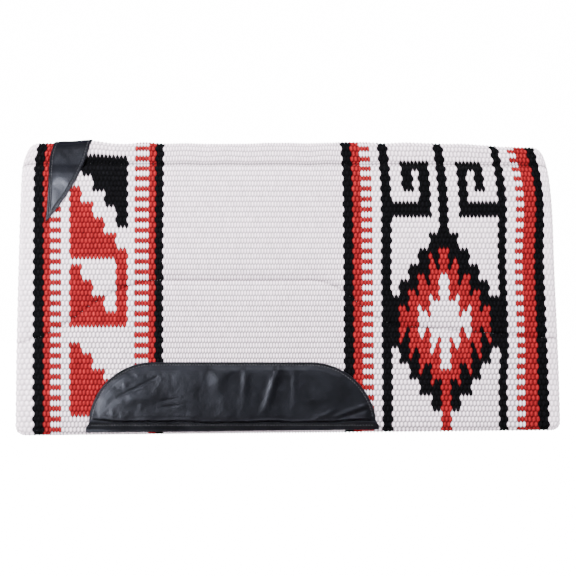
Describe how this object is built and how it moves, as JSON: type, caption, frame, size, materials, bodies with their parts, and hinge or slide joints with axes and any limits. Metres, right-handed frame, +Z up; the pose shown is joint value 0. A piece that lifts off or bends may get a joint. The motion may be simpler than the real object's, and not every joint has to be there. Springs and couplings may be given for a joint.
{
  "type": "saddle pad",
  "caption": "Folded woven wool western saddle pad with felt filling, leather wear patches and a withers patch; both flaps open about the spine fold.",
  "frame": {"origin": "middle of the footprint: centre of the bounding box at the floor", "axes": "+X along the spine towards the horse's tail, +Y towards the off side, +Z up from the hems to the fold"},
  "size_m": [0.874, 0.1724, 0.4731],
  "materials": {
    "woven_wool": "coarse weft-faced weave, matt, white with red and black pattern",
    "felt_lining": "dense matt wool felt",
    "felt_insert": "thick matt felt",
    "black_leather": "soft black garment leather, semi-gloss, wrinkled",
    "leather_thread": "waxed black thread",
    "wool_thread": "off-white spun thread"
  },
  "bodies": {
    "spine": {"crown_cover": "woven_wool", "crown_lining": "felt_lining", "crown_withers_leather": "black_leather", "crown_withers_stitching": "leather_thread"},
    "near_flap": {"near_cover": "woven_wool", "near_lining": "felt_lining", "near_upper_insert": "felt_insert", "near_lower_insert": "felt_insert", "near_spine_stitching": "wool_thread", "near_contour_stitching": "wool_thread", "near_wear_leather": "black_leather", "near_wear_stitching": "leather_thread", "near_withers_leather": "black_leather", "near_withers_stitching": "leather_thread"},
    "off_flap": {"off_cover": "woven_wool", "off_lining": "felt_lining", "off_upper_insert": "felt_insert", "off_lower_insert": "felt_insert", "off_spine_stitching": "wool_thread", "off_contour_stitching": "wool_thread", "off_wear_leather": "black_leather", "off_wear_stitching": "leather_thread", "off_withers_leather": "black_leather", "off_withers_stitching": "leather_thread"}
  },
  "joints": [
    {"name": "near_flap_fold", "type": "hinge", "parent": "spine", "child": "near_flap", "pos_m": [0, -0.01072, 0.46429], "axis": [-1, 0, 0], "range_deg": [-8, 82], "stiffness_Nm_per_rad": 0.3},
    {"name": "off_flap_fold", "type": "hinge", "parent": "spine", "child": "off_flap", "pos_m": [0, 0.01072, 0.46429], "axis": [1, 0, 0], "range_deg": [-8, 82], "stiffness_Nm_per_rad": 0.3}
  ]
}
